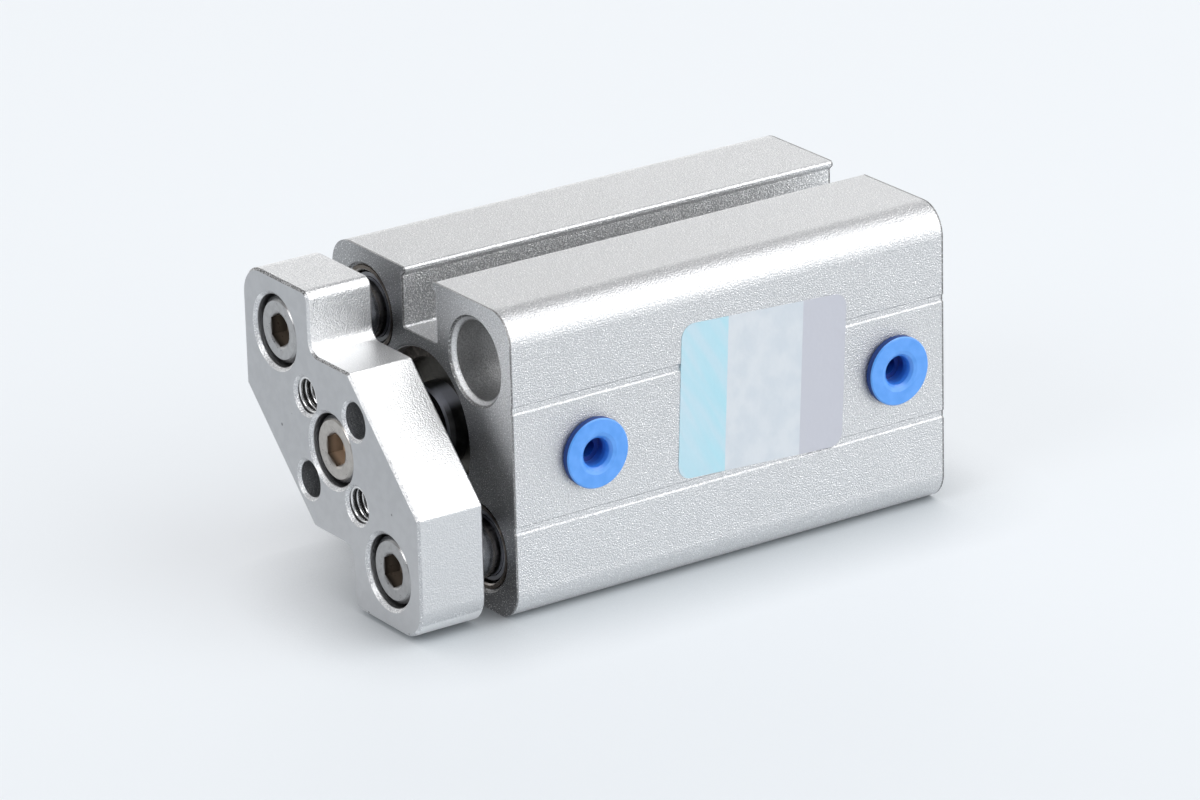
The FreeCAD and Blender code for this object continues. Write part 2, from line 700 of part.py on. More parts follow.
def make_port_plug(label, place):
    """Push-in dust plug: a flanged cup with a rounded mouth and a stepped blind hole."""
    face = s["body_width"] / 2
    top = face + s["plug_flange"]
    rim = s["plug_flange_d"] / 2
    edge = s["plug_edge"]
    shank = s["port_d"] / 2 - s["plug_gap"]
    end = face - s["plug_length"]
    hole = s["plug_hole"] / 2
    core = s["plug_core"] / 2
    step = top - s["plug_hole_depth"]
    mouth = []
    for turned_by in (radians(90), radians(60), radians(30), 0):
        mouth.append((top - s["plug_mouth"] * (1 - sin(turned_by)),
                      hole + s["plug_mouth"] * (1 - cos(turned_by))))
    body = new_body(label)
    turn(body, polygon(body, "Profile", "XY_Plane", [
        (end, ZERO), (end, shank - edge), (end + edge, shank), (face, shank), (face, rim - edge),
        (face + edge, rim), (top - edge, rim), (top, rim - edge)] + mouth + [(step, hole),
        (step, core), (end + s["plug_floor"], core), (end + s["plug_floor"], ZERO)]), "H_Axis")
    drive(body, "Placement.Base.y", place)


def check_document():
    """Stop if any object failed, or any node is empty or not valid."""
    doc.recompute()
    for item in doc.Objects:
        if "Invalid" in item.State or "Error" in item.State:
            raise RuntimeError("%s failed: %s" % (item.Label, item.State))
    for node in NODES:
        if node.Shape.isNull() or not node.Shape.isValid() or not node.Shape.Solids:
            raise RuntimeError("%s has no valid solid" % node.Label)


make_body_tube()
make_rod_cover()
make_retaining_ring("front_retaining_ring", ring_front)
make_rear_cover()
make_retaining_ring("rear_retaining_ring", cover_rear)
make_piston()
make_piston_rod()
make_guides()
make_end_plate()
make_screws()
make_port_plug("port_plug_front", port_front)
make_port_plug("port_plug_rear", port_front + port_spacing)

check_document()
os.makedirs("parts", exist_ok=True)
for node in NODES:
    node.Shape.exportStep("parts/%s.step" % node.Label)
    print("%-22s %d solid(s) %10.3f mm3" % (node.Label, len(node.Shape.Solids), node.Shape.Volume))
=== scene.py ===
import json
from math import cos, pi, radians, sin

import bpy
from mathutils import Matrix, Vector


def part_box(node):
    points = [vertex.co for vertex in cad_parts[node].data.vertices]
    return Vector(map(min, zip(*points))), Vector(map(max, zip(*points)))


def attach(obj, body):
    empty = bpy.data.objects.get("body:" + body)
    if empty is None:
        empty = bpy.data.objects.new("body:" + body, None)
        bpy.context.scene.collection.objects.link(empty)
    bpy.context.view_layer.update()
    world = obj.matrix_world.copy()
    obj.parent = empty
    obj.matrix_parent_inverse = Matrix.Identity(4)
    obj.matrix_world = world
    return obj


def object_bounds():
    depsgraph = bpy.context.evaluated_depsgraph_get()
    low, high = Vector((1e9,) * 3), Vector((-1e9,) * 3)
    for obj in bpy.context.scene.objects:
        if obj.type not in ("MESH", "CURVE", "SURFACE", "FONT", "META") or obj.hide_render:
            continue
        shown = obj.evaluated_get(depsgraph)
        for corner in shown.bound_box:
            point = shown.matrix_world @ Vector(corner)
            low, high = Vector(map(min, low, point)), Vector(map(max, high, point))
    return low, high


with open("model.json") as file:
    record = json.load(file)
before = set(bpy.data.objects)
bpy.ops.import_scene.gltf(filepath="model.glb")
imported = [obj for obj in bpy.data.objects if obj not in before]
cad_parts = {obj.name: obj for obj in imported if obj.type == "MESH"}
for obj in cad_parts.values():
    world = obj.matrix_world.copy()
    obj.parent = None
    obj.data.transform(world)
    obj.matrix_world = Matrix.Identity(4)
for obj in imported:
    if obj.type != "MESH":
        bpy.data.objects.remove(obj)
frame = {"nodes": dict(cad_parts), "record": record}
cad_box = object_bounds()

# --- Camera -----------------------------------------------------------------------------------
# A long lens on a stand half a metre away. It looks down on the front, the port side and the
# slot side, and leans over by a degree and a half.

azimuth, elevation, roll = radians(55.97), radians(20.83), radians(-1.47)
stand = Vector((0.38712, -0.2445, 0.17597))
backward = Vector((sin(azimuth) * cos(elevation), -cos(azimuth) * cos(elevation),
                   sin(elevation)))
level = Vector((0, 0, 1)).cross(backward).normalized()
upright = backward.cross(level)
camera_axes = Matrix((level * cos(roll) + upright * sin(roll),
                      upright * cos(roll) - level * sin(roll), backward)).transposed()
camera = bpy.data.objects.new("camera", bpy.data.cameras.new("camera"))
camera.data.lens = 185.92
camera.data.clip_start = 0.01
camera.data.clip_end = 20
camera.matrix_world = Matrix.Translation(stand) @ camera_axes.to_4x4()
bpy.context.scene.collection.objects.link(camera)
bpy.context.scene.camera = camera
bpy.context.scene.view_settings.view_transform = "Standard"

# --- Room, lamps and board --------------------------------------------------------------------
# A pale room, greyer overhead and towards the viewer. A tall soft lamp stands behind the port
# side and a small one hangs over the front, and the part lies on a pale board.

black, white = (0, 0, 0), (1, 1, 1)


class Wire:
    """A node socket that takes part in arithmetic: each operator adds a Math node."""

    def __init__(self, tree, socket=None):
        self.tree = tree
        self.socket = socket

    def node(self, kind, settings, sockets, output=0):
        """Any node: its settings are made first, then its sockets get values or wires."""
        made = self.tree.nodes.new(kind)
        for name, value in settings.items():
            setattr(made, name, value)
        for name, value in sockets.items():
            socket = made.inputs[name]
            if isinstance(value, Wire):
                self.tree.links.new(value.socket, socket)
            else:
                socket.default_value = (*value, 1) if socket.type == "RGBA" else value
        return Wire(self.tree, made.outputs[output])

    def maths(self, operation, *values):
        return self.node("ShaderNodeMath", {"operation": operation}, dict(enumerate(values)))

    def __add__(self, other):
        return self.maths("ADD", self, other)

    def __sub__(self, other):
        return self.maths("SUBTRACT", self, other)

    def __mul__(self, other):
        return self.maths("MULTIPLY", self, other)

    def __pow__(self, other):
        return self.maths("POWER", self, other)

    def __radd__(self, other):
        return self.maths("ADD", other, self)

    def __rsub__(self, other):
        return self.maths("SUBTRACT", other, self)

    def __rmul__(self, other):
        return self.maths("MULTIPLY", other, self)

    def __abs__(self):
        return self.maths("ABSOLUTE", self)

    def rise(self, low, high):
        """A smooth rise from 0 at low to 1 at high; low may be the larger of the two."""
        return self.node("ShaderNodeMapRange", {"interpolation_type": "SMOOTHSTEP"},
                         {"Value": self, "From Min": low, "From Max": high})

    def mix(self, first, second):
        """The colour first where this wire is 0 and second where it is 1."""
        return self.node("ShaderNodeMix", {"data_type": "RGBA"},
                         {0: self, 6: first, 7: second}, 2)

    def split(self):
        """The three parts of a vector."""
        parts = self.node("ShaderNodeSeparateXYZ", {}, {0: self})
        return [Wire(self.tree, socket) for socket in parts.socket.node.outputs]


def surface(name, colour, metallic, roughness, **fixed):
    """A material whose constants stand on its shader's own sockets."""
    material = bpy.data.materials.new(name)
    material.use_nodes = True
    shader = material.node_tree.nodes["Principled BSDF"]
    shader.inputs["Base Color"].default_value = (*colour, 1)
    shader.inputs["Metallic"].default_value = metallic
    shader.inputs["Roughness"].default_value = roughness
    for socket, value in fixed.items():
        shader.inputs[socket.replace("_", " ")].default_value = value
    return material


def feed(material, **wires):
    """Let wires drive sockets of the material's shader."""
    shader = material.node_tree.nodes["Principled BSDF"]
    for socket, wire in wires.items():
        material.node_tree.links.new(wire.socket, shader.inputs[socket.replace("_", " ")])


def light_room():
    """World light, by direction: white behind the part, grey overhead and to the front."""
    bright_wall, dim_wall, ceiling = (1.60, 1.60, 1.59), (0.30, 0.31, 0.33), (0.40, 0.40, 0.41)
    world = bpy.data.worlds.new("room")
    bpy.context.scene.world = world
    world.use_nodes = True
    x, y, z = Wire(world.node_tree).node("ShaderNodeTexCoord", {}, {}, "Generated").split()
    behind = (y - x * 0.3).rise(-0.9, 0.4)
    overhead = z.rise(0.44, 0.60) * x.rise(0.40, 0.05)
    room = overhead.mix(behind.mix(dim_wall, bright_wall), ceiling)
    world.node_tree.links.new(room.socket, world.node_tree.nodes["Background"].inputs["Color"])


def panel(name, towards, height_along, distance, width, height, radiance):
    """A rectangular lamp facing the part; radiance is the brightness of its surface."""
    lamp = bpy.data.lights.new(name, "AREA")
    lamp.shape = "RECTANGLE"
    lamp.size = width
    lamp.size_y = height
    lamp.energy = radiance * width * height * pi
    aim = Vector(towards).normalized()
    side = Vector(height_along).cross(aim).normalized()
    turned = Matrix((side, aim.cross(side), aim)).transposed()
    holder = bpy.data.objects.new(name, lamp)
    holder.matrix_world = Matrix.Translation(aim * distance) @ turned.to_4x4()
    bpy.context.scene.collection.objects.link(holder)


def board_finish():
    """Paper white to the camera and in the metal, from a glow that only they see, with a painted
    contact shadow where the part stands and a painted shade up front.
    """
    material = surface("pale_board", (0.8, 0.8, 0.8), 0.0, 0.6,
                       Specular_IOR_Level=0.2, Emission_Strength=1.0)
    wire = Wire(material.node_tree)
    to_camera = wire.node("ShaderNodeLightPath", {}, {}, "Is Camera Ray")
    to_metal = wire.node("ShaderNodeLightPath", {}, {}, "Is Glossy Ray")
    x, y, _ = wire.node("ShaderNodeTexCoord", {}, {}, "Object").split()
    # painted shade: the glow is a little darker towards the front and the port side
    painted_front_shade = (x * 0.83 - y * 0.56).rise(0.0, 0.08)
    # painted contact shadow: an ambient-occlusion node dims the glow round the part
    painted_contact_shadow = wire.node("ShaderNodeAmbientOcclusion", {"samples": 8}, {"Distance": 0.010}, "AO")
    seen = painted_contact_shadow ** 1.3 * (1 - painted_front_shade * 0.11)
    share = to_camera * seen + to_metal * (0.32 + painted_contact_shadow * 0.56)
    paper, shaded_paper = (0.80, 0.815, 0.83), (0.325, 0.36, 0.385)
    feed(material, Base_Color=(to_camera + to_metal).mix(paper, shaded_paper),
         Emission_Color=share.mix(black, (0.487, 0.484, 0.493)))
    return material


def lay_board():
    """A board under the part, level with its underside."""
    half, top = 3.0, cad_box[0].z
    mesh = bpy.data.meshes.new("floor")
    mesh.from_pydata([(-half, -half, top), (half, -half, top), (half, half, top),
                      (-half, half, top)], [], [(0, 1, 2, 3)])
    mesh.materials.append(board_finish())
    board = bpy.data.objects.new("floor", mesh)
    bpy.context.scene.collection.objects.link(board)


light_room()
panel("tall_panel", towards=(0.62, 0.523, 0.60), height_along=(-0.653, 0, 0.757),
      distance=0.9, width=0.9, height=1.3, radiance=1.48)
panel("front_panel", towards=(0.16, -0.80, 0.58), height_along=(0, 0.58, 0.80),
      distance=0.9, width=0.4, height=0.4, radiance=4.2)
lay_board()

# --- Body tube --------------------------------------------------------------------------------
# An aluminium extrusion, bead-blasted and clear anodised on its skin. Both ends are milled after
# that and the bores are turned, so they are smoother. Painted shade darkens the milled ends, and
# a thin dark line runs along their edges.

mm = 0.001


def box_mm(name):
    """The lowest and the highest corner of a piece, in millimetres."""
    return [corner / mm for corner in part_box(name)]


def hole_pattern(name):
    """A bolt pattern of the record: its holes' distance from the axis in x and z, and radius."""
    for mount in frame["record"]["mounts"]:
        if mount["name"] == name:
            return mount["dims"]["pcd_mm"] / 2 * 0.5 ** 0.5, mount["dims"]["hole_r_mm"]


body_start, body_end = box_mm("body_tube")
hole_offset, _ = hole_pattern("body_mounting_holes")


def place_mm(material):
    """A wire for the place on the piece, in millimetres."""
    metres = Wire(material.node_tree).node("ShaderNodeTexCoord", {}, {}, "Object")
    return metres.node("ShaderNodeVectorMath", {"operation": "SCALE"},
                       {0: metres, "Scale": 1 / mm})


def normal_parts(material):
    """Wires for the three parts of the surface's normal."""
    return Wire(material.node_tree).node("ShaderNodeTexCoord", {}, {}, "Normal").split()


def from_lines(x, z, offset):
    """The distance from the nearest of the lines along y that stand offset off in x and z."""
    return ((abs(x) - offset) ** 2 + (abs(z) - offset) ** 2) ** 0.5


def noise(place, scale, detail=2.0):
    """Noise whose grains are about 1 / scale millimetres wide."""
    return place.node("ShaderNodeTexNoise", {},
                      {"Vector": place, "Scale": scale, "Detail": detail})


def blasted_grain(place):
    """Wires for the coarse grain, the fine grain, the shine of both, and the bright flecks of
    painted glints.
    """
    grain, fine = noise(place, 8.0), noise(place, 16.0, 1.0)
    shine = (grain * 0.65 + fine * 0.35).rise(0.34, 0.68)
    return grain, fine, shine, noise(place, 9.5, 0.0).rise(0.68, 0.73)


def bumps(height, depth):
    """A normal from a height wire; a height of 1 stands depth millimetres proud."""
    return height.node("ShaderNodeBump", {}, {"Height": height, "Distance": depth * mm})


def dress(material, *names):
    """Put the material on these pieces in place of their plain one."""
    for name in names:
        mesh = frame["nodes"][name].data
        mesh.materials.clear()
        mesh.materials.append(material)


def body_finish():
    """Blasted skin, milled ends, turned bores and the slot, each in its own metal, under painted
    shade, light and glints.
    """
    cover_bore = box_mm("rod_cover")[1].x + 0.02
    counterbore, chamfer = 3.25, 0.5
    slot_side, slot_bottom, slot_lips = 2.5, cover_bore + 1.1, body_end.z - 0.4
    groove_offset, groove_half = 5.0, 0.35
    material = surface("blasted_aluminium", (0.8, 0.81, 0.82), 1.0, 0.3)
    place = place_mm(material)
    x, y, z = place.split()
    nx, ny, nz = normal_parts(material)
    grain, fine, shine, painted_glints = blasted_grain(place)

    # where each kind of surface lies
    from_hole, from_axis = from_lines(x, z, hole_offset), from_lines(x, z, 0.0)
    milled = abs(ny).rise(0.85, 0.95)
    bored = 1 - (from_hole.rise(counterbore + 0.03, counterbore + 0.09)
                 * from_axis.rise(cover_bore + 0.04, cover_bore + 0.10))
    skin = (1 - milled) * (1 - bored)
    painted_chamfer_highlight = (from_hole.rise(counterbore - 0.03, counterbore + 0.03) * abs(ny).rise(0.95, 0.85)
           * from_hole.rise(counterbore + chamfer + 0.09, counterbore + chamfer + 0.01))
    in_slot = (abs(x).rise(slot_side + 0.12, slot_side + 0.06)
               * z.rise(slot_bottom - 0.3, slot_bottom - 0.1))
    slot_floor = in_slot * z.rise(slot_bottom + 0.3, slot_bottom + 0.1)
    slot_wall = (in_slot * z.rise(slot_bottom + 0.1, slot_bottom + 0.3)
                 * z.rise(slot_lips + 0.01, slot_lips - 0.05))
    in_groove = abs(abs(z) - groove_offset).rise(groove_half + 0.05, groove_half - 0.01)
    shaded_groove_ledge = in_groove * nz.rise(0.4, 0.65) * x.rise(body_end.x - 0.75, body_end.x - 0.45)
    ends = y.rise(0.24, 0.13) + y.rise(body_end.y - 0.20, body_end.y - 0.10)
    dark_end_line = skin * ends * (0.4 + grain.rise(0.35, 0.5) * 0.6)

    # the metals, with painted shade on a milled end: darker towards the board and away from the
    # port side
    blasted = shine.mix((0.54, 0.55, 0.565), (0.70, 0.705, 0.715))
    lit = (0.26 + z.rise(-14.0, 12.0) * 0.74) * (0.62 + x.rise(0.0, 12.0) * 0.5)
    cut = lit.mix(black, (0.72, 0.727, 0.74))
    speckled = (grain.rise(0.56, 0.44) * 0.3).mix(cut, (0.14, 0.14, 0.14))
    turned = grain.rise(0.35, 0.65).mix((0.50, 0.50, 0.50), (0.70, 0.70, 0.70))
    # grey with white specks, the slot walls' painted glints
    coarse = noise(place, 9.0, 1.0).rise(0.46, 0.70).mix((0.51, 0.515, 0.525), white)

    # laid over one another, with the broad painted shade and light, the painted glints and the
    # dark end lines last
    colour = milled.mix(blasted, speckled)
    # painted highlight: the counterbore chamfers turn white, over bright cut metal
    colour = (painted_chamfer_highlight * (0.5 + shine * 0.5)).mix(colour, white)
    colour = bored.mix(colour, turned)
    # painted shade on the slot floor
    colour = (slot_floor * 0.10).mix(colour, (0.16, 0.165, 0.17))
    # painted glints on the slot walls
    colour = slot_wall.mix(colour, coarse)
    # painted shade on the up-facing side of each side groove, broken by the fine grain
    colour = (shaded_groove_ledge * (0.85 - fine.rise(0.42, 0.56) * 0.75)).mix(colour, (0.38, 0.39, 0.40))
    # painted shade: the top is darker towards the front
    colour = (y.rise(44.0, -4.0) * nz.rise(0.8, 1.0) * 0.10).mix(colour, black)
    # painted shade: the port side is darker towards the top
    colour = (skin * nx.rise(0.9, 1.0) * z.rise(-12.0, 9.0) * 0.08).mix(colour, black)
    # painted light: the low edge of the port side is lighter, lit from the board
    colour = (nx.rise(0.5, 0.9) * z.rise(-9.5, -12.3) * 0.4).mix(colour, white)
    # painted glints: white flecks, kept out of the bores
    colour = (painted_glints * (1 - bored)).mix(colour, white)
    # a thin dark line along the skin at both ends, broken by the grain
    colour = (dark_end_line * 0.85).mix(colour, (0.10, 0.10, 0.10))
    feed(material, Base_Color=colour, Roughness=0.42 - skin * (0.14 - fine * 0.16),
         Normal=bumps(grain * (0.6 + skin * 0.4), 0.075))
    return material


dress(body_finish(), "body_tube")

# --- Covers and rings of the piston bore ------------------------------------------------------
# The turned covers are hard anodised to an olive brown; spring rings with eyed ends hold them.
# The rear cover closes the bore and carries a rubber pad. The piston is turned and left bright.


def turned_finish(name, colour, roughness):
    """Metal turned about the axis: fine rings on its end faces."""
    rings_per_mm = 9.0
    material = surface(name, colour, 1.0, roughness)
    place = place_mm(material)
    x, y, z = place.split()
    rings = place.node("ShaderNodeCombineXYZ", {},
                       {0: from_lines(x, z, 0.0) * rings_per_mm, 1: y * rings_per_mm})
    marks = noise(rings, 1.0, 1.0)
    mottle = noise(place, 2.5)
    shade = tuple(part * 0.7 for part in colour)
    feed(material, Base_Color=(mottle * 0.6 + marks * 0.4).rise(0.3, 0.7).mix(shade, colour),
         Roughness=roughness - 0.05 + marks * 0.12, Normal=bumps(marks, 0.012))
    return material


def spring_finish():
    """Dark phosphated spring steel, lighter where rubbed, in patches at random."""
    material = surface("spring_steel", (0.12, 0.1, 0.085), 1.0, 0.34)
    mottle = noise(place_mm(material), 3.0)
    rubbed = mottle.rise(0.45, 0.75)
    feed(material, Base_Color=rubbed.mix((0.10, 0.085, 0.072), (0.24, 0.21, 0.18)),
         Roughness=0.28 + mottle * 0.2)
    return material


dress(turned_finish("cover_alloy", (0.16, 0.15, 0.132), 0.38), "rod_cover", "rear_cover")
dress(turned_finish("piston_alloy", (0.66, 0.66, 0.68), 0.33), "piston")
dress(spring_finish(), "front_retaining_ring", "rear_retaining_ring")

# --- Rubber pieces ----------------------------------------------------------------------------
# O-rings, piston seal and bumpers are matt black; the rod seal's lip and the wipers are greased
# and glossy, with a faint grey bloom and a painted bluish-white sheen.


def rubber(name, roughness, gloss_and_sheen):
    """Black rubber; the last number sets its glossy coat and a painted sheen, palest on top."""
    material = surface(name, (0.014, 0.014, 0.015), 0.0, roughness, Coat_Roughness=0.25)
    nx, ny, nz = normal_parts(material)
    bloom = noise(place_mm(material), 1.6)
    dull = bloom.rise(0.35, 0.8).mix((0.010, 0.010, 0.011), (0.034, 0.034, 0.037))
    # painted sheen: bluish white where the rubber faces up and to the port side, and on its nose
    sheen_band = nz.rise(0.30, 0.60) * nx.rise(0.05, 0.45) * nx.rise(0.82, 0.60)
    sheen_nose = ny.rise(-0.55, -0.95) * nz.rise(-0.2, 0.1)
    dull_and_sheen = (gloss_and_sheen * (sheen_band * 0.7 + sheen_nose * 0.3)).mix(dull, (0.85, 0.88, 1.00))
    feed(material, Base_Color=dull_and_sheen, Coat_Weight=gloss_and_sheen * bloom.rise(0.2, 0.6),
         Roughness=roughness - 0.06 + bloom * 0.12)
    return material


dress(rubber("seal_rubber", 0.6, 0.05), "rod_cover_o_ring", "rear_cover_o_ring", "rear_bumper",
      "front_bumper", "piston_seal")
dress(rubber("lip_rubber", 0.34, 0.9), "rod_seal", "guide_wiper_upper", "guide_wiper_lower")

# --- Guide bushes and their retainers ---------------------------------------------------------
# Sintered bronze bushes, pressed into the guide bores, and the thin dark steel rings in the
# mouths of those bores, with a painted highlight on their inner edge.


def bronze_finish():
    material = surface("bush_bronze", (0.42, 0.29, 0.15), 1.0, 0.45)
    pores = noise(place_mm(material), 7.0)
    feed(material, Base_Color=pores.rise(0.3, 0.6).mix((0.20, 0.13, 0.07), (0.46, 0.32, 0.17)),
         Normal=bumps(pores, 0.02))
    return material


def retainer_finish():
    ring_bore, bevel = 3.08, 0.12
    material = surface("retainer_steel", (0.2, 0.17, 0.14), 1.0, 0.3)
    place = place_mm(material)
    x, _, z = place.split()
    mottle = noise(place, 3.0)
    painted_edge_highlight = from_lines(x, z, hole_offset).rise(ring_bore + bevel + 0.04, ring_bore + bevel - 0.02)
    dark = mottle.rise(0.3, 0.75).mix((0.10, 0.085, 0.07), (0.20, 0.17, 0.145))
    # painted highlight on the rings' inner bevel, broken by the mottle
    feed(material, Base_Color=(painted_edge_highlight * mottle.rise(0.25, 0.5)).mix(dark, (0.42, 0.39, 0.36)),
         Roughness=0.26 + mottle * 0.15)
    return material


dress(bronze_finish(), "guide_bush_upper", "guide_bush_lower")
dress(retainer_finish(), "guide_retainer_upper", "guide_retainer_lower")

# --- Piston rod and guide rods ----------------------------------------------------------------
# Three steel rods, hard-chromed and ground nearly mirror bright, with very fine grinding lines
# round them. Screws hold the tool plate to their front ends.


def ground_finish():
    lines_per_mm = 22.0
    material = surface("ground_steel", (0.5, 0.51, 0.54), 1.0, 0.16)
    place = place_mm(material)
    x, y, z = place.split()
    stretched = place.node("ShaderNodeCombineXYZ", {},
                           {0: y * lines_per_mm, 1: x * 0.4, 2: z * 0.4})
    lines = noise(stretched, 1.0, 1.0)
    feed(material, Base_Color=lines.rise(0.3, 0.7).mix((0.47, 0.48, 0.505), (0.53, 0.54, 0.57)),
         Roughness=0.12 + lines * 0.1)
    return material


dress(ground_finish(), "piston_rod", "guide_rod_upper", "guide_rod_lower")

# --- Tool plate -------------------------------------------------------------------------------
# Milled aluminium: blasted round its edge, smooth satin on its face, with painted shade in its
# counterbores and holes.
# The upper left and the lower right tool hole carry an M3 thread.

plate_face, plate_side = box_mm("end_plate")[0].y, box_mm("end_plate")[1].x
tool_offset, tool_hole = hole_pattern("plate_tool_holes")


def plate_finish():
    """Blasted edge and satin face, with painted shade in the holes and on the upper chamfers,
    painted light on the recesses, diagonals and lower face, and painted highlights on the hole
    chamfers.
    """
    head_bore, lobe, shelf = 3.0, 2.65, 7.35
    material = surface("plate_aluminium", (0.8, 0.81, 0.82), 1.0, 0.33)
    place = place_mm(material)
    x, y, z = place.split()
    nx, ny, nz = normal_parts(material)
    grain, fine, shine, painted_glints = blasted_grain(place)

    # where each kind of surface lies
    face = abs(ny).rise(0.85, 0.95)
    from_screw, from_axis = from_lines(x, z, hole_offset), from_lines(x, z, 0.0)
    from_tool = from_lines(x, z, tool_offset)
    around = (from_screw.rise(head_bore + 0.02, head_bore + 0.08)
              * from_axis.rise(head_bore + 0.02, head_bore + 0.08))
    sunk = y.rise(plate_face + 0.23, plate_face + 0.29) * (1 - around)
    drilled = (y.rise(plate_face + 0.27, plate_face + 0.33)
               * from_tool.rise(tool_hole + 0.06, tool_hole + 0.01))
    tapped = drilled * (x * z).rise(0.0, -1.0)
    recess = (z.rise(shelf - 0.55, shelf - 0.15) * x.rise(-lobe - 0.35, -lobe - 0.05)
              + z.rise(0.55 - shelf, 0.15 - shelf) * x.rise(lobe + 0.35, lobe + 0.05))
    slope = (abs(nx).rise(0.4, 0.5) * abs(nz).rise(0.4, 0.5)
             * from_tool.rise(tool_hole + 0.1, tool_hole + 0.2))
    smooth = nx.rise(0.9, 1.0) * x.rise(plate_side - 0.4, plate_side - 0.1)
    edge = abs(ny).rise(0.50, 0.62) * abs(ny).rise(0.88, 0.78)
    outer = (from_screw.rise(head_bore + 0.5, head_bore + 0.6)
             * from_axis.rise(head_bore + 0.5, head_bore + 0.6)
             * from_tool.rise(tool_hole + 0.4, tool_hole + 0.5))

    # the blasted edge with its painted light and shade, then the satin face, and over both the
    # painted shade in the holes and a few nicks
    skin = shine.mix((0.53, 0.54, 0.555), (0.73, 0.735, 0.745))
    # painted light: the recesses by the lobes and the diagonal faces go near white
    skin = (recess * (0.75 - abs(nx) * 0.4) + slope * 0.85).mix(skin, (0.96, 0.965, 0.97))
    skin = (smooth * 0.6).mix(skin, (0.64, 0.65, 0.66))
    # painted glints: white flecks, kept off the smooth port side
    skin = (painted_glints * (1 - smooth)).mix(skin, white)
    # painted shade: the upper chamfers of the outline go dark, broken by the grain
    shaded_top_chamfer = edge * outer * nz.rise(0.45, 0.62) * (1 - shine * 0.8)
    skin = shaded_top_chamfer.mix(skin, (0.06, 0.06, 0.06))
    # painted highlight on the chamfers round the holes, broken by the grain
    skin = (edge * (1 - outer) * shine * 0.5).mix(skin, white)
    # painted shade in the tool holes
    skin = (drilled * 0.1).mix(skin, black)
    satin = noise(place, 1.2).rise(0.3, 0.7).mix((0.49, 0.495, 0.505), (0.52, 0.525, 0.535))
    # painted reflection: the face grows lighter towards the bottom, where it mirrors the board
    satin = (z.rise(2.0, -13.0) * 0.22).mix(satin, white)
    colour = face.mix(skin, satin)
    # painted shade in the counterbores
    colour = sunk.mix(colour, (0.42, 0.42, 0.425))
    # painted shade, near black, in the tapped holes
    colour = tapped.mix(colour, (0.06, 0.06, 0.06))
    cells = grain.node("ShaderNodeTexVoronoi", {}, {"Vector": place, "Scale": 0.5})
    nicks = face * cells.rise(0.08, 0.05)
    colour = (nicks * 0.7).mix(colour, (0.12, 0.12, 0.12))
    rough = (1 - face) * (1 - smooth * 0.5)
    feed(material, Base_Color=colour, Roughness=0.28 + fine * 0.14,
         Normal=bumps(grain * (0.12 + rough * 0.88), 0.068))
    return material


def ridge_tree():
    """Geometry nodes that sweep a round ridge along a helix, back from its front end."""
    tree = bpy.data.node_groups.new("thread_ridge", "GeometryNodeTree")
    for name, kind in (("Front end", "Vector"), ("Turns", "Float"), ("Radius", "Float"),
                       ("Pitch", "Float"), ("Metal", "Material")):
        tree.interface.new_socket(name, in_out="INPUT", socket_type="NodeSocket" + kind)
    tree.interface.new_socket("Ridge", in_out="OUTPUT", socket_type="NodeSocketGeometry")
    given = tree.nodes.new("NodeGroupInput").outputs
    front_end, turns, radius, pitch, metal = [Wire(tree, given[index]) for index in range(5)]
    helix = turns.node("GeometryNodeCurveSpiral", {}, {
        "Resolution": 40, "Rotations": turns, "Start Radius": radius, "End Radius": radius,
        "Height": turns * pitch})
    section = pitch.node("GeometryNodeCurvePrimitiveCircle", {"mode": "RADIUS"},
                         {"Resolution": 8, "Radius": pitch * 0.32})
    swept = helix.node("GeometryNodeCurveToMesh", {},
                       {"Curve": helix, "Profile Curve": section, "Fill Caps": True})
    placed = swept.node("GeometryNodeTransform", {}, {
        "Geometry": swept, "Translation": front_end, "Rotation": (radians(-90), 0, 0)})
    realized = placed.node("GeometryNodeRealizeInstances", {}, {"Geometry": placed})
    ridge = realized.node("GeometryNodeSetMaterial", {},
                          {"Geometry": realized, "Material": metal})
    tree.links.new(ridge.socket, tree.nodes.new("NodeGroupOutput").inputs[0])
    return tree


def cut_thread(name, tree, x, z):
    """One M3 thread: the ridge on the wall of the tapped hole at x and z."""
    countersink, length, pitch = 0.25, 5.6, 0.5
    holder = bpy.data.objects.new(name, bpy.data.meshes.new(name))
    bpy.context.scene.collection.objects.link(holder)
    maker = holder.modifiers.new("thread", "NODES")
    maker.node_group = tree
    sizes = {"Front end": (x * mm, (plate_face + countersink) * mm, z * mm),
             "Turns": length / pitch, "Radius": (tool_hole - 0.04) * mm, "Pitch": pitch * mm,
             "Metal": surface("thread_" + name, (0.8, 0.8, 0.8), 1.0, 0.22)}
    for socket in tree.interface.items_tree:
        if socket.in_out == "INPUT":
            maker[socket.identifier] = sizes[socket.name]
    evaluated = holder.evaluated_get(bpy.context.evaluated_depsgraph_get())
    finished = bpy.data.meshes.new_from_object(evaluated)
    holder.modifiers.remove(maker)
    holder.data = finished
    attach(holder, "rod_group")


dress(plate_finish(), "end_plate")
m3_ridge = ridge_tree()
cut_thread("upper_thread", m3_ridge, -tool_offset, tool_offset)
cut_thread("lower_thread", m3_ridge, tool_offset, -tool_offset)

# --- Plate screws -----------------------------------------------------------------------------
# M3 socket screws of plated steel. Their heads are worn light grey and their sockets brown, the
# middle screw's the warmer; shade is painted in the sockets, darkest by the mouth and set facet
# by facet, and a painted dark ring shades each head's rim.


